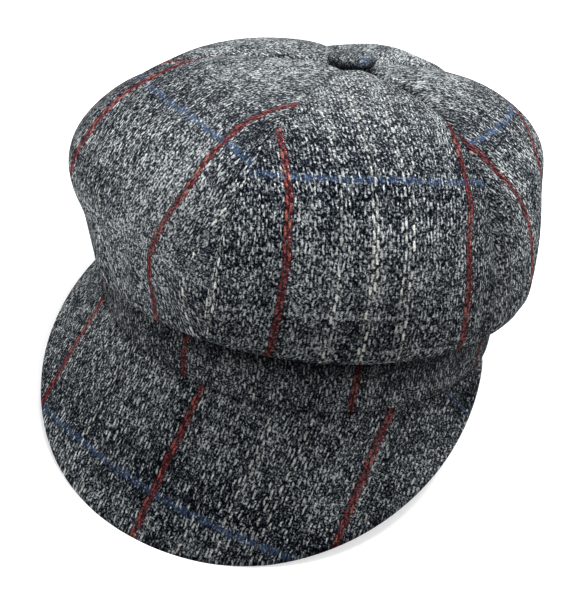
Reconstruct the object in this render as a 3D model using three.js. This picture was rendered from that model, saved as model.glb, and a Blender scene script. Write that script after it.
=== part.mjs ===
// Baker boy cap of tweed: five crown panels sewn up to a covered button, an upright band and a stiff peak.
// Millimetres, +Z up, the peak pointing to -Y. The cap leans back on its peak and on the back of its band.

import * as THREE from 'three';

const degrees = THREE.MathUtils.degToRad;
const { lerp } = THREE.MathUtils;

// Head opening and band, measured on the outside of the cloth
const BAND_HALF_LENGTH = 92.5;
const BAND_HALF_WIDTH = 95.5;
const BAND_HEIGHT = 36;
const BAND_THICKNESS = 2.4;

// How the cap lies: its backward lean, and how far the table presses the back of the band flat
const LEAN_BACK = degrees(16.3);
const BACK_PRESS = 2;
const REST_HEIGHT = BAND_HALF_LENGTH * Math.sin(LEAN_BACK) - BACK_PRESS;

// Crown cloth, and the gap that separates neighbouring pieces
const CLOTH = 1.6;
const GAP = 0.3;
const HEM_GAP = 0.5;

// Outlines seen along the head's axis, as reaches from the middle of the head opening
const TOP_OUTLINE = { front: 107, right: 104, back: 94, left: 118 };
const LOW_OUTLINE = { front: 100, right: 109, back: 103, left: 99 };
const HEM_OUTLINE = {
  front: BAND_HALF_LENGTH + HEM_GAP,
  right: BAND_HALF_WIDTH + HEM_GAP,
  back: BAND_HALF_LENGTH + HEM_GAP,
  left: BAND_HALF_WIDTH + HEM_GAP,
};

// The crown sags: its button sits off the middle, and its top slopes by so much a millimetre
const BUTTON_RIGHT = 1.5;
const BUTTON_BACK = 17;
const SLOPE_RIGHT = 0.133;
const SLOPE_BACK = -0.097;

// Directions of the panel seams, turning from the front centre towards +X
const SEAM_ANGLES = [0, 76, 146, 213, 272].map(degrees);

// How deep each of those seams draws the cloth in, as a share of its section's pinch
const SEAM_PINCHES = [0.45, 0.6, 1, 0.7, 0.8];

// Sections of the crown from button to hem. top, low and hem are shares of the outlines, lean is a share
// of the button's offset, rise is the height above the head opening, and pinch is the depth of the seams.
const CROWN_SECTIONS = [
  { name: 'button', top: 0, low: 0, hem: 0, lean: 1, rise: 118, pinch: 0 },
  { name: 'dome', top: 0.27, low: 0, hem: 0, lean: 0.85, rise: 118.4, pinch: 2.6 },
  { name: 'crest', top: 0.557, low: 0, hem: 0, lean: 0.6, rise: 116, pinch: 5.5 },
  { name: 'shoulder', top: 0.795, low: 0, hem: 0, lean: 0.3, rise: 106, pinch: 6.8 },
  { name: 'brow', top: 0.942, low: 0, hem: 0, lean: 0.1, rise: 90, pinch: 6 },
  { name: 'widest', top: 1, low: 0, hem: 0, lean: 0, rise: 68, pinch: 4.8 },
  { name: 'side', top: 0.43, low: 0.57, hem: 0, lean: 0, rise: 46.5, pinch: 3.6 },
  { name: 'fold', top: 0, low: 0.95, hem: 0.05, lean: 0, rise: 22.5, pinch: 1.3 },
  { name: 'tuck', top: 0, low: 0.4, hem: 0.6, lean: 0, rise: 23, pinch: 0.6 },
  { name: 'hem', top: 0, low: 0, hem: 1, lean: 0, rise: BAND_HEIGHT, pinch: 0 },
];
const PANEL_START = 0.02;
const PANEL_ROWS = 26;
const PANEL_COLUMNS = 12;
const TANGENT_STEP = 0.001;

// Peak: its length grows from the ends to the middle, and it slopes down from the band
const PEAK_LENGTH = 76.5;
const PEAK_END_LENGTH = 2;
const PEAK_HALF_ANGLE = degrees(94);
const PEAK_FULLNESS = 0.83;
const PEAK_SLOPE = degrees(57.5);
const PEAK_SIDE_SLOPE = degrees(36);
const PEAK_SPREAD = 0.42;
const PEAK_THICKNESS = 3;
const PEAK_STATIONS = 48;
const PEAK_STEPS = 5;

const BAND_STATIONS = 80;
const BAND_STEPS = 2;

// Covered button, as a profile of radius and height above its seat
const BUTTON_SEAT = 1;
const BUTTON_PROFILE = [
  { radius: 0, height: 0 },
  { radius: 9.8, height: 0 },
  { radius: 10.7, height: 0.7 },
  { radius: 11, height: 2.2 },
  { radius: 10.4, height: 4 },
  { radius: 8.3, height: 5.6 },
  { radius: 4.6, height: 6.6 },
  { radius: 0, height: 7 },
];
const BUTTON_SIDES = 28;

const tweed = (color) => new THREE.MeshStandardMaterial({ color, roughness: 0.95, metalness: 0 });
const CROWN_TWEED = tweed(0x54585a);
const BAND_TWEED = tweed(0x3a3e41);
const PEAK_TWEED = tweed(0x44474a);

// Skins a row of closed loops of points. Each loop runs out along one face of a wall and back on the other.
// A ring of loops meets itself, and any other row of loops is closed by a strip across each end.
function skin(loops, isRing) {
  const size = loops[0].length;
  const index = [];
  const quad = (a, b, c, d) => index.push(a, b, c, a, c, d);
  const spans = isRing ? loops.length : loops.length - 1;
  for (let i = 0; i < spans; i++) {
    const here = i * size;
    const next = ((i + 1) % loops.length) * size;
    for (let k = 0; k < size; k++) {
      const after = (k + 1) % size;
      quad(here + k, next + k, next + after, here + after);
    }
  }
  if (!isRing) {
    const last = (loops.length - 1) * size;
    for (let k = 0; k < size / 2 - 1; k++) {
      const back = size - 1 - k;
      quad(k, k + 1, back - 1, back);
      quad(last + k, last + back, last + back - 1, last + k + 1);
    }
  }
  const geometry = new THREE.BufferGeometry().setFromPoints(loops.flat());
  geometry.setIndex(index);
  geometry.computeVertexNormals();
  return geometry;
}

// A wall's loop: its outer points, then its inner points on the way back.
function wallLoop(steps, pointAt) {
  const loop = [];
  for (let k = 0; k <= steps; k++) {
    loop.push(pointAt(k / steps, 0));
  }
  for (let k = steps; k >= 0; k--) {
    loop.push(pointAt(k / steps, 1));
  }
  return loop;
}

// Raises a point of the leaning cap to the table where it would lie below it.
function restOnTable(point) {
  const table = (point.y * Math.sin(LEAN_BACK) - REST_HEIGHT) / Math.cos(LEAN_BACK);
  point.z = Math.max(point.z, table);
  return point;
}

// Reach of an outline made of four quarter ellipses, in the direction that lies theta from the front.
function reach(outline, theta) {
  const sideways = Math.sin(theta);
  const forwards = Math.cos(theta);
  const across = sideways / (sideways > 0 ? outline.right : outline.left);
  const along = forwards / (forwards > 0 ? outline.front : outline.back);
  return 1 / Math.hypot(across, along);
}

// A smooth curve through two columns of the crown's sections.
function columnPair(first, second) {
  return new THREE.SplineCurve(CROWN_SECTIONS.map((row) => new THREE.Vector2(row[first], row[second])));
}

const topAndLow = columnPair('top', 'low');
const hemAndLean = columnPair('hem', 'lean');
const riseAndPinch = columnPair('rise', 'pinch');

function sectionAt(t) {
  const { x: top, y: low } = topAndLow.getPoint(t);
  const { x: hem, y: lean } = hemAndLean.getPoint(t);
  const { x: rise, y: pinch } = riseAndPinch.getPoint(t);
  return { top, low, hem, lean, rise, pinch };
}

// Radius and height of the crown before its seams are drawn in, t of the way from button to hem.
function crownProfile(theta, t) {
  const { top, low, hem, rise } = sectionAt(t);
  const upper = top * reach(TOP_OUTLINE, theta);
  const lower = low * reach(LOW_OUTLINE, theta) + hem * reach(HEM_OUTLINE, theta);
  return new THREE.Vector2(upper + lower, rise);
}

// Point of the crown cloth: drawIn is its share of the section's pinch, depth is measured in from the face.
function crownPoint(theta, drawIn, t, depth) {
  const { hem, lean, pinch } = sectionAt(t);
  const before = crownProfile(theta, Math.max(t - TANGENT_STEP, 0));
  const course = crownProfile(theta, Math.min(t + TANGENT_STEP, 1)).sub(before).normalize();
  const inward = new THREE.Vector2(course.y, -course.x);
  const { x: radius, y: rise } = crownProfile(theta, t).addScaledVector(inward, pinch * drawIn + depth);
  const x = BUTTON_RIGHT * lean + radius * Math.sin(theta);
  const y = BUTTON_BACK * lean - radius * Math.cos(theta);
  const slope = (1 - hem) * (x * SLOPE_RIGHT + y * SLOPE_BACK);
  return new THREE.Vector3(x, y, rise + slope);
}

// Panel between two seams, given as their directions and pinches. across runs from -1 to 1 between them.
function crownPanel(from, to) {
  const loops = [];
  for (let row = 0; row <= PANEL_ROWS; row++) {
    const t = lerp(PANEL_START, 1, row / PANEL_ROWS);
    const trim = GAP / 2 / crownProfile(from.angle, t).x;
    loops.push(wallLoop(PANEL_COLUMNS, (share, face) => {
      const theta = lerp(from.angle + trim, to.angle - trim, share);
      const across = lerp(-1, 1, share);
      const drawIn = across ** 2 * (across < 0 ? from.pinch : to.pinch);
      return crownPoint(theta, drawIn, t, face * CLOTH);
    }));
  }
  return skin(loops, false);
}

// Point on the outside of the band's ellipse, moved in by depth.
function rimPoint(theta, depth, z) {
  const point = new THREE.Vector3(BAND_HALF_WIDTH * Math.sin(theta), -BAND_HALF_LENGTH * Math.cos(theta), z);
  return point.addScaledVector(rimNormal(theta), -depth);
}

function rimNormal(theta) {
  const normal = new THREE.Vector3(Math.sin(theta) / BAND_HALF_WIDTH, -Math.cos(theta) / BAND_HALF_LENGTH, 0);
  return normal.normalize();
}

function bandRing() {
  const loops = [];
  for (let i = 0; i < BAND_STATIONS; i++) {
    const theta = (2 * Math.PI * i) / BAND_STATIONS;
    loops.push(wallLoop(BAND_STEPS, (share, face) => (
      restOnTable(rimPoint(theta, face * BAND_THICKNESS, share * BAND_HEIGHT))
    )));
  }
  return skin(loops, true);
}

// Peak wall in one direction: s runs from the band to the outer edge, face from the upper side to the lower.
function peakPoint(theta, s, face) {
  const share = Math.abs(theta) / PEAK_HALF_ANGLE;
  const fullness = Math.cos((share * Math.PI) / 2) ** PEAK_FULLNESS;
  const run = s * lerp(PEAK_END_LENGTH, PEAK_LENGTH, fullness);
  const slope = lerp(PEAK_SLOPE, PEAK_SIDE_SLOPE, share ** 2);
  const plan = new THREE.Vector3(0, -1, 0).lerp(rimNormal(theta), PEAK_SPREAD).normalize();
  const point = rimPoint(theta, 0, -GAP);
  point.addScaledVector(plan, run * Math.cos(slope) - face * PEAK_THICKNESS * Math.sin(slope));
  point.z -= run * Math.sin(slope) + face * PEAK_THICKNESS * Math.cos(slope);
  return restOnTable(point);
}

function peakPlate() {
  const loops = [];
  for (let i = 0; i <= PEAK_STATIONS; i++) {
    const theta = lerp(PEAK_HALF_ANGLE, -PEAK_HALF_ANGLE, i / PEAK_STATIONS);
    loops.push(wallLoop(PEAK_STEPS, (share, face) => peakPoint(theta, share, face)));
  }
  return skin(loops, false);
}

function buttonDome() {
  const profile = BUTTON_PROFILE.map(({ radius, height }) => new THREE.Vector2(radius, height + BUTTON_SEAT));
  return new THREE.LatheGeometry(profile, BUTTON_SIDES).rotateX(Math.PI / 2);
}

function named(name, geometry, material) {
  const mesh = new THREE.Mesh(geometry, material);
  mesh.name = name;
  return mesh;
}

// The cap is put together with its head opening level, and then laid back on the table.
const cap = new THREE.Group();
const seams = SEAM_ANGLES.map((angle, i) => ({ angle, pinch: SEAM_PINCHES[i] }));
seams.push({ angle: seams[0].angle + 2 * Math.PI, pinch: seams[0].pinch });
for (let i = 0; i < SEAM_ANGLES.length; i++) {
  cap.add(named(`crown_panel_${i + 1}`, crownPanel(seams[i], seams[i + 1]), CROWN_TWEED));
}

const button = named('button', buttonDome(), CROWN_TWEED);
const crownUp = new THREE.Vector3(-SLOPE_RIGHT, -SLOPE_BACK, 1).normalize();
button.position.copy(crownPoint(0, 0, 0, 0));
button.quaternion.setFromUnitVectors(new THREE.Vector3(0, 0, 1), crownUp);
cap.add(button);

cap.add(named('band', bandRing(), BAND_TWEED));
cap.add(named('peak', peakPlate(), PEAK_TWEED));
cap.rotation.x = -LEAN_BACK;
cap.position.z = REST_HEIGHT;

// The origin is on the table, below the middle of the whole cap.
const group = new THREE.Group();
group.add(cap);
const middle = new THREE.Box3().setFromObject(group, true).getCenter(new THREE.Vector3());
group.position.set(-middle.x, -middle.y, 0);

export default group;
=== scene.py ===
"""Baker boy cap of tweed: the cloth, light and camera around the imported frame."""
import math

import bpy
import numpy as np
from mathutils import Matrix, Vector


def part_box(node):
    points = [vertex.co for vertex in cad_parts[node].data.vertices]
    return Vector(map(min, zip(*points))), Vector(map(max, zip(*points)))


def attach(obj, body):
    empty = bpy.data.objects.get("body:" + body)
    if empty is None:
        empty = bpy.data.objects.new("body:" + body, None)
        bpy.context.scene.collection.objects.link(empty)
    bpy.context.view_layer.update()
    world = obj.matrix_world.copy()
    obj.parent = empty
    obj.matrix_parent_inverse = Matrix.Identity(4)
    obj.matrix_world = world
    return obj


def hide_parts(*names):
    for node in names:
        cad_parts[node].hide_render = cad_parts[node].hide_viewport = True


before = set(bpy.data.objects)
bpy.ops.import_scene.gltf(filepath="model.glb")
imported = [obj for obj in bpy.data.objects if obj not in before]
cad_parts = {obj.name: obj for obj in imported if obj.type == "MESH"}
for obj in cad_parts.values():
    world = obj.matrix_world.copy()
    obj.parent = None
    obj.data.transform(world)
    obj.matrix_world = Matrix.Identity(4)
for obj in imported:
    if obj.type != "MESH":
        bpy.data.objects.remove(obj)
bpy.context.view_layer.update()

METRES = 0.001
FULL_TURN = 2 * math.pi

# Sizes of the cap in millimetres, as in the part's source; left and right are as the photo shows them
BAND_HALF_LENGTH = 92.5
BAND_HALF_WIDTH = 95.5
BAND_HEIGHT = 36.0
BAND_THICKNESS = 2.4
LEAN_BACK = math.radians(16.3)
BACK_PRESS = 2.0
REST_HEIGHT = BAND_HALF_LENGTH * math.sin(LEAN_BACK) - BACK_PRESS
CLOTH = 1.6
GAP = 0.3
HEM_GAP = 0.5
TOP_OUTLINE = {"front": 107, "right": 104, "back": 94, "left": 118}
LOW_OUTLINE = {"front": 100, "right": 109, "back": 103, "left": 99}
HEM_OUTLINE = {
    "front": BAND_HALF_LENGTH + HEM_GAP,
    "right": BAND_HALF_WIDTH + HEM_GAP,
    "back": BAND_HALF_LENGTH + HEM_GAP,
    "left": BAND_HALF_WIDTH + HEM_GAP,
}
BUTTON_RIGHT = 1.5
BUTTON_BACK = 17.0
SLOPE_RIGHT = 0.133
SLOPE_BACK = -0.097
SEAM_DEGREES = [0, 76, 146, 213, 272, 360]
PANEL_START = 0.02
TANGENT_STEP = 0.001
PEAK_LENGTH = 76.5
PEAK_END_LENGTH = 2.0
PEAK_HALF_ANGLE = math.radians(94)
PEAK_FULLNESS = 0.83
PEAK_SLOPE = math.radians(57.5)
PEAK_SIDE_SLOPE = math.radians(36)
PEAK_SPREAD = 0.42
PEAK_THICKNESS = 3.0

# Button's radius and height from its base to its tip, as in the part's source
BUTTON_PROFILE = [(9.8, 0.0), (10.7, 0.7), (11.0, 2.2), (10.4, 4.0), (8.3, 5.6), (4.6, 6.6), (0.0, 7.0)]

# Crown sections from button to hem, as in the part's source: top, low, hem, lean, rise, pinch. top, low and
# hem are shares of the outlines, lean is a share of the button's offset, rise is the height above the head
# opening, and pinch is the depth of the seams.
CROWN_SECTIONS = np.array([
    (0, 0, 0, 1, 118, 0),
    (0.27, 0, 0, 0.85, 118.4, 2.6),
    (0.557, 0, 0, 0.6, 116, 5.5),
    (0.795, 0, 0, 0.3, 106, 6.8),
    (0.942, 0, 0, 0.1, 90, 6),
    (1, 0, 0, 0, 68, 4.8),
    (0.43, 0.57, 0, 0, 46.5, 3.6),
    (0, 0.95, 0.05, 0, 22.5, 1.3),
    (0, 0.4, 0.6, 0, 23, 0.6),
    (0, 0, 1, 0, BAND_HEIGHT, 0),
])

# Where the cap stands in the part's frame, in metres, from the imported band
band_low, band_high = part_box("band")
BAND_REACH_BACK = BAND_HALF_LENGTH * math.cos(LEAN_BACK) + BAND_HEIGHT * math.sin(LEAN_BACK)
CAP_ORIGIN = np.array([(band_low.x + band_high.x) / 2, band_high.y - BAND_REACH_BACK * METRES, 0.0])

# Fineness of the cloth meshes, and how closely a panel's columns crowd at its seams
PANEL_ROWS = 150
PANEL_COLUMNS = 84
SEAM_CROWDING = 0.88
BAND_STATIONS = 320
BAND_STEPS = 14
PEAK_STATIONS = 200
PEAK_STEPS = 44
BUTTON_SIDES = 64
BUTTON_ROWS = 20

# Width and length of each crown panel's flat cut
PANEL_CUTS = [(133, 205), (136, 188), (121, 185), (115, 213), (174, 217)]

# Seams of the crown, from the front one round to itself again: share of the pinch, sideways bow in degrees,
# and crease by the button. Depths and softness are in millimetres, and ends and the crease's reach are
# shares of the way from button to hem.
SEAM_PINCHES = [0.2, 0.85, 1, 0.7, 0.8, 0.2]
SEAM_BOWS = [4, -5.5, 0, 0, 0, 4]
SEAM_BOW_END = 0.7
SEAM_CREASES = [0.0, 2.0, 1.0, 1.0, 0.6, 0.0]
CREASE_REACH = 0.16
SEAM_DIP = 0.5
SEAM_DIP_END = 0.15
SEAM_SOFTNESS = 1.8
STEEP_FALL = 4

# Ripples all over a crown panel, in millimetres and shares of the way from button to hem: the crest is a
# usual height where the waves add up
RIPPLE_DEPTH = 0.55
RIPPLE_WAVES = 9
RIPPLE_LENGTHS = (26, 70)
RIPPLE_CREST = 3
RIPPLE_SEED = 40
RIPPLE_EDGE = 14.0
RIPPLE_START = 0.06
RIPPLE_RISE = 0.15
RIPPLE_END = 0.86
RIPPLE_FALL = 0.12

# Puckers along the fold above the band
PUCKER_DEPTH = 0.7
PUCKER_PITCH = 17.0
PUCKER_PLACE = 0.71
PUCKER_REACH = 0.07
PUCKER_EDGE = 10.0
PUCKER_DRIFT = 1.3
PUCKER_DRIFT_LENGTH = 23.0

# Overcheck of the tweed in millimetres, and a distance at which no line shows
RED_PITCH = 77.0
BLUE_PITCH = 120.0
FAR_OFF = 1000.0

# Where red lines lie on the crown panels that the photo shows, counted from 0, in millimetres. v is the
# distance from the button along the panel, left and right are two neighbouring lines' distances from the
# panel's middle, slanted is one more line that runs askew, and ease widens the left line. The panels start
# at the hole for the button, and the lines bend softly.
RED_LINES = {
    0: {
        "v": [66, 81, 107, 137, 160, 185],
        "left": [-45, -42, -37.6, -35, -36, -38.2],
        "right": [37.5, 38.5, 42, 46, 49, 48.5],
    },
    1: {
        "v": [50, 66, 80, 88, 98, 110, 130, 185],
        "left": [-46, -48, -51, -52.5, -52, -45, -33, -26],
        "slanted": [34, 14, -4, -14, -20, -15, -6, 0],
    },
    4: {
        "v": [58, 66, 75, 86, 100, 125, 140, 155, 172, 192],
        "left": [-45, -42.5, -39, -33.5, -25.5, -15.5, -14.3, -14.5, -18, -20],
        "right": [46.5, 47, 47.5, 49, 55.3, 64, 64, 59.3, 48.8, 51],
        "ease": 0.5,
    },
}
PLAIN_LINES = {"v": [0, 200], "left": [-38.5, -38.5]}
EASE_REACH = 12.0
LINE_SOFTNESS = 9.0
LINE_SAMPLES = 13
BUTTON_HOLE = 4.0

# Blue line of each crown panel: its distance from the button at the panel's middle, its tilt and its curve
BLUE_LINES = [(105.5, 0.05, 0.0012), (76, 0, 0), (100, 0, 0.001), (100, 0, 0.001), (91.7, 0, 0.0029)]

# Seed of each node's weave, and where the panels' blue lines lie along the warp
WEAVE_SEEDS = {
    "crown_panel_1": 3,
    "crown_panel_2": 13,
    "crown_panel_3": 23,
    "crown_panel_4": 33,
    "crown_panel_5": 43,
    "band": 70,
    "peak": 80,
    "button": 90,
}
PANEL_WEAVE_START = 200.0

# How clearly the pale chains show on each crown panel, left of its right red line and beyond it
PALENESS = [(1, 1), (0.4, 0.4), (0.4, 0.4), (0.4, 0.4), (0.35, 1)]
PALE_START = 90.0
PALE_REACH = 45.0
PALE_LEAST = 0.3

# Fuzz and painted sheen of the crown: on each panel, its change per millimetre to the right, which is
# painted light and shade, and round the button
PANEL_FUZZ_AND_SHEEN = [0.0, 0.0, 0.02, 0.02, 0.055]
# Painted light and shade on the left panel: darker to the left, lighter to the right
PAINTED_LIGHT_LEANS = [0.0, 0.0, 0.0, 0.0, 0.0018]
PAINTED_LIGHT_LEAN_CENTRE = 35.0
FUZZ_AND_SHEEN_FADE = 30.0
# Painted sheen with fuzz round the button
TOP_FUZZ_AND_SHEEN = 0.1
TOP_FUZZ_AND_SHEEN_FROM = 45.0
TOP_FUZZ_AND_SHEEN_REACH = 65.0

# Painted shade of the crown: below its widest part, most of all at the aim, in the hollow beside a seam and
# along the seams
LOW_CROWN_SHADE = 0.62
LOW_SHADE_FROM = 0.49
LOW_SHADE_REACH = 0.27
LOW_SHADE_AIM = math.radians(33)
LOW_SHADE_FOCUS = 3
# Painted shade in the hollow beside a seam
SEAM_SHADES = [0.0, 0.35, 0.0, 0.0, 0.0, 0.0]
SEAM_SHADE_REACH = 14.0
SEAM_SHADE_FROM = 0.25
SEAM_SHADE_RISE = 0.2
# Thin painted shade along each seam's groove near the button
SEAM_LINES = [0.2, 0.6, 0.3, 0.3, 0.3, 0.2]
SEAM_LINE_REACH = 1.3
SEAM_LINE_END = 0.3

# Cloth of the band: place of its red lines, distance from a blue one, and painted shade, deepest as a
# painted shadow where the crown covers it
BAND_RED_OFFSET = 11.0
BAND_TO_BLUE = BLUE_PITCH / 3
BAND_PALENESS = 0.3
BAND_COVERED = 22.5
# Painted shadow where the crown hangs over the band
BAND_TOP_SHADE = 0.09
# Painted shade over the rest of the band
BAND_LOW_SHADE = 0.48
BAND_SHADE_REACH = 16.0
BAND_SHADE_EASE = 0.6

# Form of the peak's sewn edges
PEAK_ROUNDING = 0.42
PEAK_TUCK = 2.0

# Cloth of the peak: its blue line, its red lines, which fan out, and its shade, partly a darker cloth and
# partly painted shade, with painted light on its left side and painted shade along its edge and at its join
# with the band
PEAK_BLUE_PLACE = 121.0
PEAK_BLUE_CURVE = 0.003
PEAK_BLUE_TURN = 0.058
PEAK_CLOTH_LENGTH = 1.65
PEAK_RED_PLACE = 1.1
PEAK_RED_TILT = 0.15
PEAK_RED_LEVEL = 85.0
PEAK_LEFT_FAN = 0.001
PEAK_RIGHT_FAN = 0.0022
PEAK_LEFT_STRETCH = 0.976
PEAK_RIGHT_STRETCH = 1.022
PEAK_PALENESS = 0.35
# Darker peak cloth, partly painted shade from the crown above it
PEAK_SHADE = 0.63
# Painted light on the left side of the peak
PEAK_PAINTED_SIDE_LIGHT = 0.4
# Painted shade along the peak's edge, fading out towards the left
PEAK_EDGE_SHADE = 0.3
PEAK_EDGE_FADE = 60.0
# Painted shade at the peak's join with the band
PEAK_SEAM_SHADE = 0.55
PEAK_SEAM_REACH = 1.8

# The button's cloth is flatter than its solid and sits lower, as in the photo
BUTTON_SEAT = 0.5
BUTTON_FLATTENING = 0.75
BUTTON_BLUE_PLACE = 8.0
# Fuzz with painted sheen on the button
BUTTON_FUZZ_AND_SHEEN = 0.1
# Painted shade: darkest at the button's seat on the crown, lighter towards its tip
BUTTON_LOW_SHADE = 0.12
BUTTON_TOP_SHADE = 0.85
BUTTON_SHADE_REACH = 4.6

# Weave of the tweed: sizes in millimetres, and parts of a float
WARP_ENDS = 48
WARP_PITCH = RED_PITCH / WARP_ENDS
FLOAT_PITCH = 6.4
FLOAT_REPEAT = 3
FLOAT_STAGGER = 0.5
FLOAT_SLANT = 0.15
PHASE_SPREAD = 0.28
PHASE_SEED = 3.0
MIDDLE = 0.5

# Wander of the yarns: changes per millimetre, and how far they move
DRIFT_SCALE = 0.07
DRIFT = 2.0
JOG_SCALE = 0.45
JOG_ACROSS = 0.5
JOG_ALONG = 1.3
FRAY_SCALE = 1.5
FRAY = 0.55

# Noises of the cloth: smooth or fine detail, and changes per millimetre, across and along where they differ
SMOOTH = 1.0
FINE = 2.0
FIBRE_SCALE = 1.2
MOTTLE_SCALE = 0.16
SPECKS = (1.45, 0.54)
WARP_STREAKS = (0.16, 0.010)
WEFT_STREAKS = (0.008, 0.12)
BLUE_GAPS = (0.3, 0.1)
WEFT_SEED = 5.0
GAP_SEED = 9.0

# Ramps of the weave: from, to, and the values there where they aren't 0 and 1
FLOAT_SIDES = (0.1, 0.46, 1.0, 0.0)
FLOAT_ENDS = (0.18, 0.42, 1.0, 0.0)
SPECK_RAMP = (0.26, 0.74)
FIBRE_RAMP = (0.3, 0.7)
FLOAT_SPECKS = (0.1, 0.8, 0.45, 1.0)
FLOAT_PICKS = (0.0, 1.0, 0.15, 0.75)
BLUE_FLOATS = (0.15, 0.7, 1.0, 0.25)
BLUE_GAP_RAMP = (0.38, 0.58, 0.15, 0.9)
BLUE_SPECKS = (0.15, 0.85, 0.88, 0.42)
PALE_FLOATS = (0.1, 0.55)
PALE_PICKS = (0.1, 0.7, 0.15, 1.0)
PALE_FIBRES = (0.0, 0.6, 0.55, 1.0)
RED_FLOATS = (0.05, 0.5)
RED_SPECKS = (0.1, 0.65, 0.4, 1.0)
RED_FIBRES = (0.1, 0.7, 0.55, 1.0)

# How much each noise adds to the grey yarns' tone, less the shift, to the other yarns and to the relief
SPECK_TONE = 0.5
FIBRE_TONE = 0.65
WARP_TONE = 0.45
WEFT_TONE = 0.2
MOTTLE_TONE = 0.5
TONE_SHIFT = 0.795
BLUE_SPECK_TONE = 0.65
BLUE_FUZZ_AND_SHEEN_TONE = 3.0
RED_PICK_TONE = 0.55
RED_FIBRE_TONE = 0.45
SPECK_RELIEF = 0.8
RELIEF_STRENGTH = 1.0
RELIEF_DEPTH = 0.001

# Fuzz and painted sheen hide the floats, lighten the cloth and lay a haze over it
FUZZ_COVER = 3.0
FUZZ_AND_SHEEN_LIFT = 1.2
FUZZ_AND_SHEEN_HAZE = 0.5

# Lines of the weave: dark zones and faint pale wefts lie by their distance from a blue line, edges waver
DARK_ZONE_PLACE = -5.0
DARK_ZONE_INSIDE = 6.0
DARK_ZONE_OUTSIDE = 22.0
DARK_ZONE_SHADE = 0.1
PALE_WEFTS = [63, 80]
PALE_WEFT_HALF = 0.9
PALE_WEFT_LIFT = 0.11
BLUE_HALF_WIDTH = 1.5
LINE_EDGE = 0.5
LINE_JOG = 1.2
RED_RAGGEDNESS = 1.3
RED_SHADOW_SHARE = 0.65

# Pale warp ends, counted from a red line: one alone, two side by side and two parted by a grey one
PALE_ENDS = [12, 20, 21, 28, 30]

# Colours of the yarns from dark to light
GREY_YARN = [
    (0.0, (0.0010, 0.0017, 0.0036)),
    (0.25, (0.0052, 0.0078, 0.0135)),
    (0.45, (0.040, 0.049, 0.059)),
    (0.62, (0.145, 0.156, 0.163)),
    (0.82, (0.345, 0.370, 0.378)),
    (1.0, (0.570, 0.605, 0.610)),
]
RED_YARN = [
    (0.0, (0.080, 0.014, 0.018)),
    (0.45, (0.255, 0.038, 0.041)),
    (0.72, (0.430, 0.076, 0.062)),
    (1.0, (0.680, 0.250, 0.110)),
]
BLUE_YARN = [
    (0.0, (0.013, 0.026, 0.088)),
    (1.0, (0.125, 0.226, 0.410)),
]
RED_SHADOW = (0.050, 0.011, 0.013, 1)
WHITE_YARN = (0.930, 0.940, 0.850, 1)
# Grey haze of fuzz and painted sheen
FUZZ_AND_SHEEN_GREY = (0.200, 0.205, 0.210, 1)

# Finish of the cloth
CLOTH_ROUGHNESS = 0.95
CLOTH_GLOSS = 0.0
SHEEN_WEIGHT = 0.02
SHEEN_ROUGHNESS = 0.3
SHEEN_TINT = (0.82, 0.84, 0.86, 1)

# Floor, lights and world: metres, watts and strengths
WHITE = (1, 1, 1, 1)
FLOOR_REACH = 6.0
FLOOR_CORNERS = [(-1, -1), (1, -1), (1, 1), (-1, 1)]
FLOOR_GREY = (0.85, 0.85, 0.85, 1)
FLOOR_ROUGHNESS = 0.9
FLOOR_GLOW = 0.36
LIGHTS = {
    "key": {"place": (0.15, 0.65, 1.25), "size": 0.9, "power": 37},
    "fill": {"place": (1.15, -0.2, 0.9), "size": 1.2, "power": 9},
    "side": {"place": (-1.1, -0.6, 0.12), "size": 0.8, "power": 20},
}
LIGHT_AIM = (0, 0, 0.08)
WORLD_STRENGTH = 0.46

# Camera fitted to the photo, in the 570 by 610 frame: the pixel is that of the head opening's middle
FRAME_WIDTH = 570
FRAME_HEIGHT = 610
HEAD_PIXEL = (297, 293)
FOCAL_PIXELS = 1476
SENSOR_SIZE = 36.0
CAMERA_AZIMUTH = math.radians(28)
CAMERA_ELEVATION = math.radians(48)
CAMERA_DISTANCE = 0.72
CAMERA_NEAREST = 0.01


# Shape of the cap

def share_of(length, whole):
    """How much of a whole a length has come, from 0 to 1."""
    return np.clip(length / whole, 0, 1)


def bell(distance, reach, fall=2):
    """1 at no distance, falling to near 0 well beyond the reach."""
    return np.exp(-((distance / reach) ** fall))


def section_at(t):
    """Crown section t of the way from button to hem, on a smooth curve through the rows."""
    last = len(CROWN_SECTIONS) - 1
    place = np.asarray(t, float) * last
    index = np.clip(np.floor(place).astype(int), 0, last - 1)
    w = (place - index)[..., None]
    before, here, after, later = (CROWN_SECTIONS[np.clip(index + k, 0, last)] for k in (-1, 0, 1, 2))
    start = (after - before) / 2
    end = (later - here) / 2
    cubic = 2 * here - 2 * after + start + end
    square = -3 * here + 3 * after - 2 * start - end
    return cubic * w**3 + square * w**2 + start * w + here


def outline_reach(outline, theta):
    """Reach of an outline made of four quarter ellipses, theta from the front."""
    sideways = np.sin(theta)
    forwards = np.cos(theta)
    across = sideways / np.where(sideways > 0, outline["right"], outline["left"])
    along = forwards / np.where(forwards > 0, outline["front"], outline["back"])
    return 1 / np.hypot(across, along)


def crown_profile(theta, t):
    """Radius and rise of the smooth crown."""
    top, low, hem, _, rise, _ = np.moveaxis(section_at(t), -1, 0)
    radius = top * outline_reach(TOP_OUTLINE, theta) + low * outline_reach(LOW_OUTLINE, theta)
    return radius + hem * outline_reach(HEM_OUTLINE, theta), rise


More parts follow.
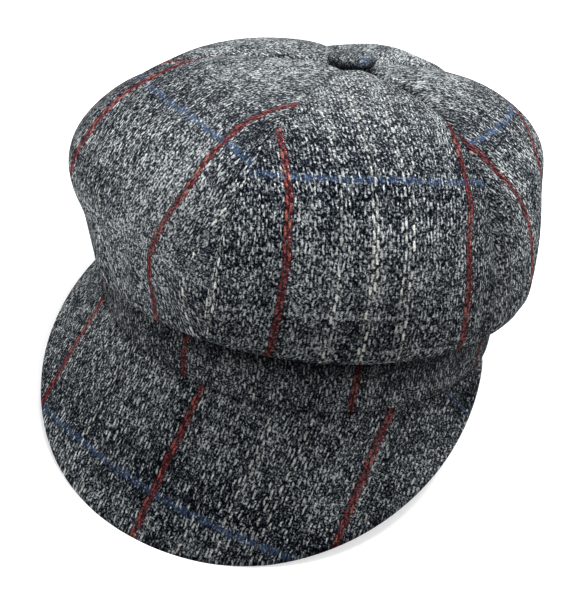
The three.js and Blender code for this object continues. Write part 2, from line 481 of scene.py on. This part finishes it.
def crown_point(theta, draw_in, t, depth):
    """Point of the crown cloth: draw_in is its share of the pinch, depth is measured inwards."""
    _, _, hem, lean, _, pinch = np.moveaxis(section_at(t), -1, 0)
    radius_before, rise_before = crown_profile(theta, np.maximum(t - TANGENT_STEP, 0))
    radius_after, rise_after = crown_profile(theta, np.minimum(t + TANGENT_STEP, 1))
    step_out = radius_after - radius_before
    step_up = rise_after - rise_before
    length = np.hypot(step_out, step_up)
    radius, rise = crown_profile(theta, t)
    move = pinch * draw_in + depth
    radius = radius + step_up / length * move
    rise = rise - step_out / length * move
    x = BUTTON_RIGHT * lean + radius * np.sin(theta)
    y = BUTTON_BACK * lean - radius * np.cos(theta)
    return np.stack([x, y, rise + (1 - hem) * (x * SLOPE_RIGHT + y * SLOPE_BACK)], -1)


def seam_angle(seam, t):
    """Turn of a seam from the front: it bows sideways between the button and the side of the crown."""
    bow = np.sin(math.pi * np.minimum(t / SEAM_BOW_END, 1))
    return np.radians(SEAM_DEGREES[seam] + SEAM_BOWS[seam] * bow)


def rim_normal(theta):
    """Level direction straight out of the band."""
    normal = np.stack([np.sin(theta) / BAND_HALF_WIDTH, -np.cos(theta) / BAND_HALF_LENGTH, 0 * theta], -1)
    return normal / np.linalg.norm(normal, axis=-1, keepdims=True)


def rim_point(theta, depth, z):
    """Point of the band at a height z, a depth inside its outer face."""
    rim = np.stack([BAND_HALF_WIDTH * np.sin(theta), -BAND_HALF_LENGTH * np.cos(theta), z + 0 * theta], -1)
    return rim - rim_normal(theta) * depth


def rest_on_table(points):
    """Points of the level cap, pressed up where they would be below the table."""
    table = (points[..., 1] * math.sin(LEAN_BACK) - REST_HEIGHT) / math.cos(LEAN_BACK)
    points[..., 2] = np.maximum(points[..., 2], table)
    return points


def peak_point(theta, s, drop):
    """Point of the peak: s from the band to the edge, drop in millimetres below the upper face."""
    share = np.abs(theta) / PEAK_HALF_ANGLE
    fullness = np.cos(np.minimum(share, 1) * math.pi / 2) ** PEAK_FULLNESS
    run = s * (PEAK_END_LENGTH + (PEAK_LENGTH - PEAK_END_LENGTH) * fullness)
    slope = PEAK_SLOPE + (PEAK_SIDE_SLOPE - PEAK_SLOPE) * share**2
    forwards = np.zeros(theta.shape + (3,))
    forwards[..., 1] = -1
    plan = forwards + (rim_normal(theta) - forwards) * PEAK_SPREAD
    plan = plan / np.linalg.norm(plan, axis=-1, keepdims=True)
    points = rim_point(theta, 0, -GAP)
    points = points + plan * (run * np.cos(slope) - drop * np.sin(slope))[..., None]
    points[..., 2] -= run * np.sin(slope) + drop * np.cos(slope)
    return rest_on_table(points)


def lay_down(points):
    """From the level cap to the cap as it leans on the table, in metres in the part's frame."""
    x, y, z = np.moveaxis(points, -1, 0)
    back = y * math.cos(LEAN_BACK) + z * math.sin(LEAN_BACK)
    up = z * math.cos(LEAN_BACK) - y * math.sin(LEAN_BACK) + REST_HEIGHT
    return np.stack([x, back, up], -1) * METRES + CAP_ORIGIN


# Tweed

class Graph:
    """Short calls that add shader nodes and join them."""

    # Colour sockets of the mix node
    MIX_FIRST = 6
    MIX_SECOND = 7
    MIX_RESULT = 2

    def __init__(self, tree):
        self.tree = tree

    def node(self, kind, *inputs, **settings):
        made = self.tree.nodes.new(kind)
        for name, value in settings.items():
            setattr(made, name, value)
        for socket, value in inputs:
            self.join(made.inputs[socket], value)
        return made

    def join(self, socket, value):
        if isinstance(value, bpy.types.NodeSocket):
            self.tree.links.new(value, socket)
        else:
            socket.default_value = value

    def math(self, operation, *values):
        return self.node("ShaderNodeMath", *enumerate(values), operation=operation).outputs[0]

    def add(self, a, b):
        return self.math("ADD", a, b)

    def less(self, a, b):
        return self.math("SUBTRACT", a, b)

    def times(self, first, *others):
        for other in others:
            first = self.math("MULTIPLY", first, other)
        return first

    def total(self, first, *others):
        for other in others:
            first = self.add(first, other)
        return first

    def weighted(self, *pairs):
        """Sum of values, each times its weight."""
        return self.total(*[self.times(value, weight) for value, weight in pairs])

    def size(self, value):
        return self.math("ABSOLUTE", value)

    def shift(self, value, noise, reach):
        """A value moved by a noise, by up to half the reach either way."""
        return self.add(value, self.times(self.less(noise, MIDDLE), reach))

    def apart(self, value, pitch):
        """Distance from the nearest of the lines that lie at whole pitches."""
        return self.size(self.math("WRAP", value, pitch / 2, -pitch / 2))

    def line(self, value, pitch, half_width):
        """1 on the lines that lie at whole pitches, and 0 beside them."""
        return self.ramp(self.apart(value, pitch), half_width - LINE_EDGE, half_width + LINE_EDGE, 1.0, 0.0)

    def ramp(self, value, low, high, to_low=0.0, to_high=1.0):
        values = enumerate((value, low, high, to_low, to_high))
        return self.node("ShaderNodeMapRange", *values, interpolation_type="SMOOTHSTEP").outputs[0]

    def vector(self, x, y, z):
        return self.node("ShaderNodeCombineXYZ", (0, x), (1, y), (2, z)).outputs[0]

    def attribute(self, name):
        made = self.node("ShaderNodeAttribute", attribute_name=name)
        return self.node("ShaderNodeSeparateXYZ", (0, made.outputs["Vector"])).outputs

    def noise_node(self, vector, scale, detail):
        return self.node("ShaderNodeTexNoise", ("Vector", vector), ("Scale", scale), ("Detail", detail))

    def noise(self, vector, scale, detail):
        return self.noise_node(vector, scale, detail).outputs["Fac"]

    def noises(self, vector, scale):
        """Smooth noises that differ: one to move yarns across, the next to move them along."""
        made = self.noise_node(vector, scale, SMOOTH)
        return self.node("ShaderNodeSeparateColor", (0, made.outputs["Color"])).outputs

    def streaks(self, across, along, seed, scales, detail):
        """Noise that changes at one scale across the cloth and at another along it."""
        stretched = self.vector(self.times(across, scales[0]), self.times(along, scales[1]), seed)
        return self.noise(stretched, 1.0, detail)

    def random(self, x, y, z):
        return self.node("ShaderNodeTexWhiteNoise", ("Vector", self.vector(x, y, z))).outputs["Value"]

    def mix(self, share, first, second):
        made = self.node("ShaderNodeMix", (0, share), data_type="RGBA")
        self.join(made.inputs[self.MIX_FIRST], first)
        self.join(made.inputs[self.MIX_SECOND], second)
        return made.outputs[self.MIX_RESULT]

    def colours(self, value, stops):
        made = self.node("ShaderNodeValToRGB", (0, value))
        elements = made.color_ramp.elements
        while len(elements) < len(stops):
            elements.new(MIDDLE)
        for element, (place, colour) in zip(elements, stops):
            element.position = place
            element.color = (*colour, 1)
        return made.outputs[0]


class Weave:
    """Where the yarns run, which of them float on top, and how they are specked."""

    def __init__(self, g):
        self.across, self.along, self.seed = g.attribute("weave")
        self.slanted, self.to_blue, _ = g.attribute("check")
        # Paleness, painted light and shade, and fuzz with painted sheen, at each point
        self.paleness, self.shade, self.fuzz_and_sheen = g.attribute("finish_and_painted_light")
        self.place = g.vector(self.across, self.along, self.seed)
        self.wander(g)
        self.float_up(g)

    def wander(self, g):
        """Yarns drift and jog, and their fibres fray."""
        drift = g.noises(self.place, DRIFT_SCALE)
        jog = g.noises(self.place, JOG_SCALE)
        fray = g.noises(self.place, FRAY_SCALE)
        warp = g.shift(g.shift(self.across, drift[0], DRIFT), jog[0], JOG_ACROSS)
        weft = g.shift(g.shift(self.along, drift[1], DRIFT), jog[1], JOG_ALONG)
        self.warp = g.shift(warp, fray[0], FRAY)
        self.weft = g.shift(weft, fray[1], FRAY)
        self.jog = jog[1]

    def float_up(self, g):
        """Warp floats: of each three ends, two are half a float out of step with the third."""
        column_place = g.math("DIVIDE", self.warp, WARP_PITCH)
        self.column = g.math("FLOOR", column_place)
        late = g.math("GREATER_THAN", g.math("FLOORED_MODULO", self.column, FLOAT_REPEAT), MIDDLE)
        beat = g.add(g.math("DIVIDE", self.weft, FLOAT_PITCH), g.times(late, FLOAT_STAGGER))
        beat = g.add(beat, g.times(g.random(self.column, self.seed, PHASE_SEED), PHASE_SPREAD))
        y = g.less(g.math("FRACT", beat), MIDDLE)
        x = g.less(g.less(g.math("FRACT", column_place), MIDDLE), g.times(y, FLOAT_SLANT))
        body = g.times(g.ramp(g.size(x), *FLOAT_SIDES), g.ramp(g.size(y), *FLOAT_ENDS))
        self.pick = g.random(self.column, g.math("FLOOR", beat), self.seed)
        self.speck = g.ramp(g.streaks(self.warp, self.weft, self.seed, SPECKS, FINE), *SPECK_RAMP)
        self.fibre = g.ramp(g.noise(self.place, FIBRE_SCALE, FINE), *FIBRE_RAMP)
        self.body = g.times(body, g.ramp(self.speck, *FLOAT_SPECKS))


def grey_cloth(g, weave):
    """Flecked grey that changes slowly with the warp, the weft and the cloth, under its fuzz and painted
    sheen.
    """
    warp_shade = g.streaks(weave.warp, weave.weft, weave.seed, WARP_STREAKS, SMOOTH)
    weft_shade = g.streaks(weave.warp, weave.weft, g.add(weave.seed, WEFT_SEED), WEFT_STREAKS, SMOOTH)
    mottle = g.noise(weave.place, MOTTLE_SCALE, FINE)
    # Fuzz and painted sheen hide the floats and lighten the tone
    showing = g.less(1.0, g.times(weave.fuzz_and_sheen, FUZZ_COVER))
    flecks = g.times(weave.body, showing, g.ramp(weave.pick, *FLOAT_PICKS))
    specks = g.weighted((weave.speck, SPECK_TONE), (weave.fuzz_and_sheen, FUZZ_AND_SHEEN_LIFT), (weave.fibre, FIBRE_TONE))
    slow = g.weighted((warp_shade, WARP_TONE), (weft_shade, WEFT_TONE), (mottle, MOTTLE_TONE))
    tone = g.less(g.total(flecks, specks, slow), TONE_SHIFT)
    from_zone = g.apart(g.less(weave.to_blue, DARK_ZONE_PLACE), BLUE_PITCH)
    tone = g.less(tone, g.ramp(from_zone, DARK_ZONE_INSIDE, DARK_ZONE_OUTSIDE, DARK_ZONE_SHADE, 0.0))
    for distance in PALE_WEFTS:
        place = g.shift(g.less(weave.to_blue, distance), weave.jog, LINE_JOG)
        tone = g.add(tone, g.times(g.line(place, BLUE_PITCH, PALE_WEFT_HALF), PALE_WEFT_LIFT))
    # A grey haze of fuzz and painted sheen over the cloth
    return g.mix(g.times(weave.fuzz_and_sheen, FUZZ_AND_SHEEN_HAZE), g.colours(tone, GREY_YARN), FUZZ_AND_SHEEN_GREY)


def with_blue_lines(g, weave, colour):
    """Blue weft lines, seen between the floats."""
    line = g.line(g.shift(weave.to_blue, weave.jog, LINE_JOG), BLUE_PITCH, BLUE_HALF_WIDTH)
    gaps = g.streaks(weave.across, weave.along, g.add(weave.seed, GAP_SEED), BLUE_GAPS, SMOOTH)
    line = g.times(line, g.ramp(weave.body, *BLUE_FLOATS), g.ramp(gaps, *BLUE_GAP_RAMP))
    share = g.times(line, g.ramp(weave.speck, *BLUE_SPECKS))
    # The blue is lighter under fuzz and painted sheen
    yarn = g.colours(g.weighted((weave.speck, BLUE_SPECK_TONE), (weave.fuzz_and_sheen, BLUE_FUZZ_AND_SHEEN_TONE)), BLUE_YARN)
    return g.mix(share, colour, yarn)


def with_pale_chains(g, weave, colour):
    """Pale warp ends, where they float."""
    end = g.math("FLOORED_MODULO", weave.column, WARP_ENDS)
    pale = g.total(*[g.math("COMPARE", end, pale_end, MIDDLE) for pale_end in PALE_ENDS])
    pale = g.times(pale, g.ramp(weave.body, *PALE_FLOATS), g.ramp(weave.pick, *PALE_PICKS))
    share = g.times(pale, weave.paleness, g.ramp(weave.fibre, *PALE_FIBRES))
    return g.mix(share, colour, WHITE_YARN)


def with_red_lines(g, weave, colour):
    """Red warp ends over dark red, with ragged edges."""
    to_line = g.apart(g.shift(weave.warp, weave.fibre, RED_RAGGEDNESS), RED_PITCH)
    to_slanted = g.size(g.shift(weave.slanted, weave.fibre, RED_RAGGEDNESS))
    line = g.math("LESS_THAN", g.math("MINIMUM", to_line, to_slanted), WARP_PITCH)
    colour = g.mix(g.times(line, RED_SHADOW_SHARE), colour, RED_SHADOW)
    share = g.times(line, g.ramp(weave.body, *RED_FLOATS), g.ramp(weave.speck, *RED_SPECKS))
    share = g.times(share, g.ramp(weave.fibre, *RED_FIBRES))
    yarn = g.colours(g.weighted((weave.pick, RED_PICK_TONE), (weave.fibre, RED_FIBRE_TONE)), RED_YARN)
    return g.mix(share, colour, yarn)


def tweed_material():
    """Light warp flecks over dark weft, with red warp lines, blue weft lines and pale warp chains."""
    material = bpy.data.materials.new("tweed")
    material.use_nodes = True
    g = Graph(material.node_tree)
    weave = Weave(g)
    colour = grey_cloth(g, weave)
    colour = with_blue_lines(g, weave, colour)
    colour = with_pale_chains(g, weave, colour)
    colour = with_red_lines(g, weave, colour)
    # Colour scaled by the painted light and shade
    shaded = g.node("ShaderNodeVectorMath", (0, colour), ("Scale", weave.shade), operation="SCALE")
    relief = g.add(weave.body, g.times(weave.speck, SPECK_RELIEF))
    bump = g.node("ShaderNodeBump", ("Height", relief))
    bump.inputs["Strength"].default_value = RELIEF_STRENGTH
    bump.inputs["Distance"].default_value = RELIEF_DEPTH
    shader = material.node_tree.nodes["Principled BSDF"]
    g.join(shader.inputs["Base Color"], shaded.outputs[0])
    g.join(shader.inputs["Normal"], bump.outputs[0])
    shader.inputs["Roughness"].default_value = CLOTH_ROUGHNESS
    shader.inputs["Specular IOR Level"].default_value = CLOTH_GLOSS
    shader.inputs["Sheen Weight"].default_value = SHEEN_WEIGHT
    shader.inputs["Sheen Roughness"].default_value = SHEEN_ROUGHNESS
    shader.inputs["Sheen Tint"].default_value = SHEEN_TINT
    return material


tweed = tweed_material()


# Meshes

def vectors(x, y, z):
    """Three values at each point, each given for every point or for all of them."""
    return np.stack(np.broadcast_arrays(x, y, z), -1)


def wall_faces(rows, columns, ring):
    """Faces of a closed wall: an outer grid of points, then an inner grid of as many."""
    faces = []
    size = rows * columns
    spans = columns if ring else columns - 1
    for i in range(rows - 1):
        for k in range(spans):
            after = (k + 1) % columns
            a, b = i * columns + k, i * columns + after
            c, d = b + columns, a + columns
            faces.append((a, d, c, b))
            faces.append((a + size, b + size, c + size, d + size))
    for k in range(spans):
        after = (k + 1) % columns
        last = (rows - 1) * columns
        faces.append((k, after, after + size, k + size))
        faces.append((last + after, last + k, last + k + size, last + after + size))
    if not ring:
        for i in range(rows - 1):
            a, b = i * columns, (i + 1) * columns
            faces.append((b, a, a + size, b + size))
            right = columns - 1
            faces.append((a + right, b + right, b + right + size, a + right + size))
    return faces


def dome_faces(rows, sides):
    """Faces of a closed dome: rings of points from the base up, then its tip and the middle of its base."""
    faces = []
    for i in range(rows - 1):
        for k in range(sides):
            a, b = i * sides + k, i * sides + (k + 1) % sides
            faces.append((a, b, b + sides, a + sides))
    last = (rows - 1) * sides
    tip = rows * sides
    base = tip + 1
    for k in range(sides):
        after = (k + 1) % sides
        faces.append((last + k, last + after, tip))
        faces.append((after, k, base))
    return faces


def set_vectors(mesh, name, values):
    attribute = mesh.attributes.new(name, "FLOAT_VECTOR", "POINT")
    attribute.data.foreach_set("vector", np.ascontiguousarray(values, np.float32).ravel())


def cloth_piece(node, points, faces, weave, check, finish_and_painted_light):
    """A smooth piece of tweed in place of a node. Each point has its place in the weave, with a seed, its
    distances from a slanted red line and from a blue line, and its paleness, painted light and shade, and
    fuzz with painted sheen."""
    mesh = bpy.data.meshes.new(node + "_cloth")
    mesh.from_pydata([tuple(p) for p in lay_down(points).reshape(-1, 3)], [], faces)
    mesh.update()
    set_vectors(mesh, "weave", weave)
    set_vectors(mesh, "check", check)
    set_vectors(mesh, "finish_and_painted_light", finish_and_painted_light)
    mesh.polygons.foreach_set("use_smooth", np.ones(len(mesh.polygons), bool))
    mesh.materials.append(tweed)
    piece = bpy.data.objects.new(node + "_cloth", mesh)
    bpy.context.scene.collection.objects.link(piece)
    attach(piece, "root")
    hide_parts(node)
    return piece


def wall_piece(node, outer, inner, ring, weave, check, finish_and_painted_light):
    """A closed wall of tweed from its outer and inner grids of points."""
    rows, columns, _ = outer.shape
    on_both = [np.stack([values, values]) for values in (weave, check, finish_and_painted_light)]
    return cloth_piece(node, np.stack([outer, inner]), wall_faces(rows, columns, ring), *on_both)


# Crown panels

class PanelGrid:
    """Points of a crown panel: t runs from button to hem, and side from -1 at a seam to 1 at the next."""

    def __init__(self, panel):
        share = np.linspace(0, 1, PANEL_COLUMNS)
        share = share - SEAM_CROWDING * np.sin(FULL_TURN * share) / FULL_TURN
        t, share = np.meshgrid(np.linspace(PANEL_START, 1, PANEL_ROWS), share, indexing="ij")
        first = seam_angle(panel, t)
        last = seam_angle(panel + 1, t)
        trim = GAP / 2 / crown_profile(first, t)[0]
        self.panel = panel
        self.t = t
        self.side = 2 * share - 1
        self.theta = first + trim + (last - first - 2 * trim) * share
        self.draw_in = self.side**2 * self.by_seam(SEAM_PINCHES)
        self.u = self.across()
        self.v = self.down((first + last) / 2)
        self.to_seam = self.u[:, -1:] - np.abs(self.u)

    def by_seam(self, values):
        """The value of the seam on each point's own side."""
        return np.where(self.side < 0, values[self.panel], values[self.panel + 1])

    def cloth(self, depth):
        """Points of the cloth at a depth inside its smooth shape."""
        return crown_point(self.theta, self.draw_in, self.t, depth)

    def across(self):
        """Millimetres across the panel from its middle."""
        steps = np.linalg.norm(np.diff(self.cloth(0), axis=1), axis=-1)
        u = np.cumsum(np.pad(steps, ((0, 0), (1, 0))), 1)
        return u - u[:, -1:] / 2

    def down(self, middle):
        """Millimetres down the panel's middle from the button."""
        line = crown_point(middle, 0, self.t, 0)[:, 0]
        steps = np.linalg.norm(np.diff(line, axis=0), axis=-1)
        v = np.cumsum(np.pad(steps, (1, 0))) + BUTTON_HOLE
        return v[:, None] + 0 * self.t


def ripples(u, v, seed):
    """Soft unevenness of the draped cloth."""
    rng = np.random.default_rng(seed)
    total = 0 * u
    for _ in range(RIPPLE_WAVES):
        angle = rng.uniform(0, math.pi)
        wave = FULL_TURN / rng.uniform(*RIPPLE_LENGTHS)
        phase = rng.uniform(0, FULL_TURN)
        total = total + np.sin(wave * (u * math.cos(angle) + v * math.sin(angle)) + phase)
    return total / RIPPLE_CREST


def panel_depth(grid):
    """How far the cloth lies inside its smooth shape: dips at the seams, less ripples and puckers."""
    calm = share_of(grid.to_seam, RIPPLE_EDGE) * share_of(RIPPLE_END - grid.t, RIPPLE_FALL)
    calm = calm * share_of(grid.t - RIPPLE_START, RIPPLE_RISE)
    ripple = ripples(grid.u, grid.v, RIPPLE_SEED + grid.panel) * calm
    fold = bell(grid.t - PUCKER_PLACE, PUCKER_REACH) * share_of(grid.to_seam, PUCKER_EDGE)
    drift = PUCKER_DRIFT * np.sin(grid.u / PUCKER_DRIFT_LENGTH + grid.panel)
    pucker = np.sin(FULL_TURN * grid.u / PUCKER_PITCH + drift) * fold
    crease = grid.by_seam(SEAM_CREASES) * bell(grid.t, CREASE_REACH, STEEP_FALL)
    dip = (SEAM_DIP + crease) * bell(grid.to_seam, SEAM_SOFTNESS) * share_of(1 - grid.t, SEAM_DIP_END)
    return dip - (RIPPLE_DEPTH * ripple + PUCKER_DEPTH * pucker)


def panel_reds(grid):
    """Place across the cloth, with red lines at whole pitches, and distance from a slanted red line."""
    lines = RED_LINES.get(grid.panel, PLAIN_LINES)
    steps = np.linspace(-LINE_SOFTNESS, LINE_SOFTNESS, LINE_SAMPLES)

    def line(name):
        return sum(np.interp(grid.v + step, lines["v"], lines[name]) for step in steps) / LINE_SAMPLES

    left = line("left")
    right = line("right") if "right" in lines else left + RED_PITCH
    slanted = grid.u - line("slanted") if "slanted" in lines else FAR_OFF
    from_left = grid.u - left
    between = from_left / (right - left) * RED_PITCH
    beyond = np.where(grid.u > right, RED_PITCH + grid.u - right, between)
    across = np.where(from_left < 0, from_left, beyond)
    ease = lines.get("ease", 0) * from_left * bell(from_left, EASE_REACH)
    return across - ease, slanted


def panel_shade(grid):
    """Painted shade below the widest part, in the hollow beside a seam and along the seams."""
    # Painted shade under the widest part, strongest towards the aim
    facing = ((1 + np.cos(grid.theta - LOW_SHADE_AIM)) / 2) ** LOW_SHADE_FOCUS
    shade = 1 - LOW_CROWN_SHADE * facing * share_of(grid.t - LOW_SHADE_FROM, LOW_SHADE_REACH)
    # Painted shade in the hollow beside a seam
    hollow = grid.by_seam(SEAM_SHADES) * bell(grid.to_seam, SEAM_SHADE_REACH)
    shade = shade * (1 - hollow * share_of(grid.t - SEAM_SHADE_FROM, SEAM_SHADE_RISE))
    # Thin painted shade along each seam near the button
    line = grid.by_seam(SEAM_LINES) * bell(grid.to_seam, SEAM_LINE_REACH)
    return shade * (1 - line * bell(grid.t, SEAM_LINE_END, STEEP_FALL))


def panel_fuzz_and_sheen(grid):
    """Fuzz and painted sheen of the panel itself, with painted light and shade that lean across the left
    panel, and of the crown's top.
    """
    fuzz_and_sheen = PANEL_FUZZ_AND_SHEEN[grid.panel] + PAINTED_LIGHT_LEANS[grid.panel] * (grid.u - PAINTED_LIGHT_LEAN_CENTRE)
    top = 1 - share_of(grid.v - TOP_FUZZ_AND_SHEEN_FROM, TOP_FUZZ_AND_SHEEN_REACH)
    return fuzz_and_sheen * share_of(grid.to_seam, FUZZ_AND_SHEEN_FADE) + TOP_FUZZ_AND_SHEEN * top


def crown_panel(panel):
    """One gore of the crown, with its own drape, overcheck and finish."""
    node = f"crown_panel_{panel + 1}"
    grid = PanelGrid(panel)
    depth = panel_depth(grid)
    across, slanted = panel_reds(grid)
    blue_place, blue_tilt, blue_curve = BLUE_LINES[panel]
    to_blue = grid.v - (blue_place + blue_tilt * grid.u + blue_curve * grid.u**2)
    paleness = np.where(across < RED_PITCH, *PALENESS[panel])
    paleness = paleness * np.maximum(share_of(grid.v - PALE_START, PALE_REACH), PALE_LEAST)
    weave = vectors(across, PANEL_WEAVE_START + to_blue, WEAVE_SEEDS[node])
    check = vectors(slanted, to_blue, 0)
    finish_and_painted_light = vectors(paleness, panel_shade(grid), panel_fuzz_and_sheen(grid))
    return wall_piece(node, grid.cloth(depth), grid.cloth(depth + CLOTH), False, weave, check, finish_and_painted_light)


# Band, peak and button

def band_piece():
    """Upright ring with painted shade, and a painted shadow where the crown hangs over it."""
    turn = np.linspace(0, FULL_TURN, BAND_STATIONS, endpoint=False)
    z, theta = np.meshgrid(np.linspace(BAND_HEIGHT, 0, BAND_STEPS), turn, indexing="ij")
    outer = rest_on_table(rim_point(theta, 0, z))
    inner = rest_on_table(rim_point(theta, BAND_THICKNESS, z))
    from_front = np.where(theta > math.pi, theta - FULL_TURN, theta)
    u = from_front * (BAND_HALF_LENGTH + BAND_HALF_WIDTH) / 2
    # Painted shadow under the crown's overhang, painted shade below it
    lit = share_of(BAND_COVERED - z, BAND_SHADE_REACH) ** BAND_SHADE_EASE
    shade = BAND_TOP_SHADE + (BAND_LOW_SHADE - BAND_TOP_SHADE) * lit
    weave = vectors(u + BAND_RED_OFFSET, BAND_HEIGHT - z, WEAVE_SEEDS["band"])
    check = vectors(FAR_OFF, BAND_TO_BLUE + 0 * u, 0)
    finish_and_painted_light = vectors(BAND_PALENESS, shade, 0)
    return wall_piece("band", outer, inner, True, weave, check, finish_and_painted_light)


def peak_piece():
    """Upper face, rounded edge and lower face of the peak, as one closed wall."""
    stations = np.linspace(-PEAK_HALF_ANGLE, PEAK_HALF_ANGLE, PEAK_STATIONS)
    s, theta = np.meshgrid(np.linspace(0, 1, PEAK_STEPS), stations, indexing="ij")
    upper = peak_point(theta, s, 0)
    lower = peak_point(theta, s, PEAK_THICKNESS)
    rounding = PEAK_ROUNDING * bell((1 - s) * PEAK_LENGTH, PEAK_THICKNESS / 2)
    draw_in = (lower - upper) * rounding[..., None]
    tuck = rim_normal(theta[:1]) * PEAK_TUCK
    upper = np.concatenate([upper[:1] - tuck, upper + draw_in])
    lower = np.concatenate([lower[:1] - tuck, lower - draw_in])
    s = np.concatenate([s[:1], s])
    x, y, _ = np.moveaxis(upper, -1, 0)
    on_left = x < PEAK_RED_PLACE
    stretch = np.where(on_left, PEAK_LEFT_STRETCH, PEAK_RIGHT_STRETCH)
    fan = np.where(on_left, PEAK_LEFT_FAN, PEAK_RIGHT_FAN)
    tilt = (PEAK_RED_TILT - fan * x) * (-y - PEAK_RED_LEVEL)
    across = stretch * (x - PEAK_RED_PLACE) + tilt
    v = PEAK_BLUE_CURVE * x**2 - PEAK_BLUE_TURN * x - y
    # Painted shade along the edge, fading out towards the left
    edge_shade = PEAK_EDGE_SHADE * (1 - share_of(-x, PEAK_EDGE_FADE))
    shade = PEAK_SHADE - edge_shade * bell((1 - s) * PEAK_LENGTH, PEAK_THICKNESS)
    # Painted light on the left side
    shade = shade + PEAK_PAINTED_SIDE_LIGHT * share_of(-x, BAND_HALF_WIDTH)
    # Painted shade at the join with the band
    shade = shade * (1 - PEAK_SEAM_SHADE * bell(s * PEAK_LENGTH, PEAK_SEAM_REACH))
    weave = vectors(across, v * PEAK_CLOTH_LENGTH, WEAVE_SEEDS["peak"])
    check = vectors(FAR_OFF, (v - PEAK_BLUE_PLACE) * PEAK_CLOTH_LENGTH, 0)
    finish_and_painted_light = vectors(PEAK_PALENESS, shade, 0)
    return wall_piece("peak", upper, lower, False, weave, check, finish_and_painted_light)


def button_piece():
    """Covered dome, square to the crown's slope, with cloth that spreads out from its tip."""
    radii, heights = np.array(BUTTON_PROFILE).T
    corners = np.arange(len(radii))
    span = np.linspace(0, corners[-1], BUTTON_ROWS)
    radius = np.interp(span, corners, radii)
    height = np.interp(span, corners, heights) * BUTTON_FLATTENING + BUTTON_SEAT
    angle = np.linspace(0, FULL_TURN, BUTTON_SIDES, endpoint=False)
    rings = vectors(
        radius[:-1, None] * np.cos(angle),
        radius[:-1, None] * np.sin(angle),
        height[:-1, None],
    )
    local = np.concatenate([rings.reshape(-1, 3), [(0, 0, height[-1]), (0, 0, height[0])]])
    up = Vector((-SLOPE_RIGHT, -SLOPE_BACK, 1)).normalized()
    turn = np.array(Vector((0, 0, 1)).rotation_difference(up).to_matrix())
    points = local @ turn.T + crown_point(0.0, 0.0, 0.0, 0.0)
    arc = np.cumsum(np.hypot(np.diff(radius, prepend=radius[0]), np.diff(height, prepend=height[0])))
    spread = np.concatenate([np.repeat(arc[-1] - arc[:-1], BUTTON_SIDES), [0, arc[-1]]])
    turned = np.concatenate([np.tile(angle, BUTTON_ROWS - 1), [0, 0]])
    # Painted shade, darkest where the button sits on the crown
    lit = share_of(local[:, 2] - BUTTON_SEAT, BUTTON_SHADE_REACH)
    shade = BUTTON_LOW_SHADE + (BUTTON_TOP_SHADE - BUTTON_LOW_SHADE) * lit
    across = RED_PITCH / 2 + spread * np.cos(turned)
    weave = vectors(across, spread * np.sin(turned), WEAVE_SEEDS["button"])
    check = vectors(FAR_OFF, local[:, 0] - BUTTON_BLUE_PLACE, 0)
    finish_and_painted_light = vectors(0, shade, BUTTON_FUZZ_AND_SHEEN)
    return cloth_piece("button", points, dome_faces(BUTTON_ROWS - 1, BUTTON_SIDES), weave, check, finish_and_painted_light)


# Floor, light and camera

def floor_piece():
    """Plain pale floor under the cap."""
    mesh = bpy.data.meshes.new("floor")
    mesh.from_pydata([(x * FLOOR_REACH, y * FLOOR_REACH, 0) for x, y in FLOOR_CORNERS], [], [(0, 1, 2, 3)])
    pale = bpy.data.materials.new("floor")
    pale.use_nodes = True
    shader = pale.node_tree.nodes["Principled BSDF"]
    shader.inputs["Base Color"].default_value = FLOOR_GREY
    shader.inputs["Roughness"].default_value = FLOOR_ROUGHNESS
    shader.inputs["Emission Color"].default_value = WHITE
    shader.inputs["Emission Strength"].default_value = FLOOR_GLOW
    mesh.materials.append(pale)
    floor = bpy.data.objects.new("floor", mesh)
    bpy.context.scene.collection.objects.link(floor)


def area_light(name, place, size, power):
    """A round, soft light that is aimed at the cap."""
    data = bpy.data.lights.new(name, "AREA")
    data.shape = "DISK"
    data.size = size
    data.energy = power
    light = bpy.data.objects.new(name, data)
    light.location = place
    light.rotation_euler = (Vector(LIGHT_AIM) - Vector(place)).to_track_quat("-Z", "Y").to_euler()
    bpy.context.scene.collection.objects.link(light)


def white_world():
    """Even white light from all round."""
    world = bpy.data.worlds.new("studio")
    world.use_nodes = True
    background = world.node_tree.nodes["Background"]
    background.inputs["Color"].default_value = WHITE
    background.inputs["Strength"].default_value = WORLD_STRENGTH
    bpy.context.scene.world = world
    bpy.context.scene.view_settings.view_transform = "Standard"


def photo_camera():
    """Camera at the photo's angle, with the head opening's middle at its pixel."""
    data = bpy.data.cameras.new("camera")
    data.sensor_width = SENSOR_SIZE
    data.lens = FOCAL_PIXELS * SENSOR_SIZE / max(FRAME_WIDTH, FRAME_HEIGHT)
    data.clip_start = CAMERA_NEAREST
    camera = bpy.data.objects.new("camera", data)
    level = math.cos(CAMERA_ELEVATION)
    towards_x = math.sin(CAMERA_AZIMUTH) * level
    towards_y = -math.cos(CAMERA_AZIMUTH) * level
    back = Vector((towards_x, towards_y, math.sin(CAMERA_ELEVATION)))
    turn = back.to_track_quat("Z", "Y")
    pixel = CAMERA_DISTANCE / FOCAL_PIXELS
    right = (FRAME_WIDTH / 2 - HEAD_PIXEL[0]) * pixel
    up = (HEAD_PIXEL[1] - FRAME_HEIGHT / 2) * pixel
    head = Vector(CAP_ORIGIN) + Vector((0, 0, REST_HEIGHT * METRES))
    camera.location = head + back * CAMERA_DISTANCE + turn @ Vector((right, up, 0))
    camera.rotation_euler = turn.to_euler()
    bpy.context.scene.collection.objects.link(camera)
    bpy.context.scene.camera = camera


panels = [crown_panel(panel) for panel in range(len(PANEL_CUTS))]
button_piece()
band_piece()
peak_piece()
floor_piece()
for name, light in LIGHTS.items():
    area_light(name, **light)
white_world()
photo_camera()
